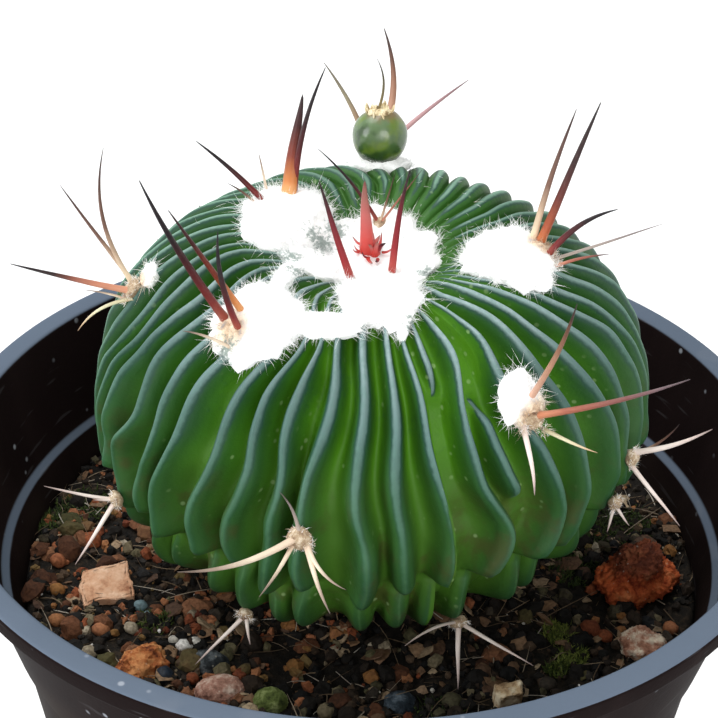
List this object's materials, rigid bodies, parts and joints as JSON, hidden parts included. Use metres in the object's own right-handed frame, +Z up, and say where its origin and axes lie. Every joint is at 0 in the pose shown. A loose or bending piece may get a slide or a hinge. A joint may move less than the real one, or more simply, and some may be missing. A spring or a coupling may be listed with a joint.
{
  "type": "potted brain cactus",
  "caption": "Small round cactus with thin wavy ribs, woolly tufts, long spines and one young fruit, planted in soil with stones in a round plastic pot.",
  "frame": {"origin": "centre of the pot's foot, on the surface that the pot stands on", "axes": "+Z up; -Y towards the viewer of the picture; +X to the viewer's right"},
  "size_m": [0.1, 0.1, 0.1318],
  "materials": {
    "pot_plastic": "satin moulded plastic, nearly black with a blue grey sheen on the rim",
    "soil": "rough dark peaty potting soil with grit",
    "skin": "waxy green skin, pale blue green along the rib edges",
    "wool": "white woolly hair",
    "young_spine": "horny, red brown to black at the tip",
    "old_spine": "dry, cream to grey",
    "fruit": "smooth olive green skin",
    "dried_flower": "dry and papery, cream",
    "red_stone": "rough red lava",
    "clay": "rough fired clay and pink stone",
    "grey_stone": "matt dark grey stone",
    "pale_stone": "rough pale stone",
    "olive_stone": "matt olive stone"
  },
  "bodies": {
    "root": {"blue_pebble": "grey_stone", "cactus_body": "skin", "clay_chip": "clay", "flower_remains": "dried_flower", "fruit": "fruit", "grey_pebble": "grey_stone", "lava_stone": "red_stone", "olive_pebble": "olive_stone", "orange_stone": "red_stone", "pale_chunk": "pale_stone", "pink_pebble": "clay", "pot": "pot_plastic", "soil": "soil", "spines_back_1": "old_spine", "spines_back_2": "young_spine", "spines_back_3": "old_spine", "spines_back_4": "old_spine", "spines_back_5": "old_spine", "spines_back_6": "young_spine", "spines_back_7": "old_spine", "spines_back_8": "old_spine", "spines_back_left": "young_spine", "spines_bottom": "old_spine", "spines_bottom_left": "old_spine", "spines_crown": "young_spine", "spines_crown_back": "young_spine", "spines_crown_left": "young_spine", "spines_crown_right": "young_spine", "spines_front": "old_spine", "spines_front_left": "young_spine", "spines_front_right": "young_spine", "spines_fruiting": "young_spine", "spines_left": "young_spine", "spines_low_left": "old_spine", "spines_low_right": "old_spine", "spines_right": "young_spine", "spines_right_low": "old_spine", "tan_sliver": "pale_stone", "wool_back_2": "wool", "wool_back_6": "wool", "wool_crown": "wool", "wool_front_right": "wool", "wool_fruiting": "wool", "wool_left": "wool", "wool_right": "wool"}
  },
  "joints": []
}
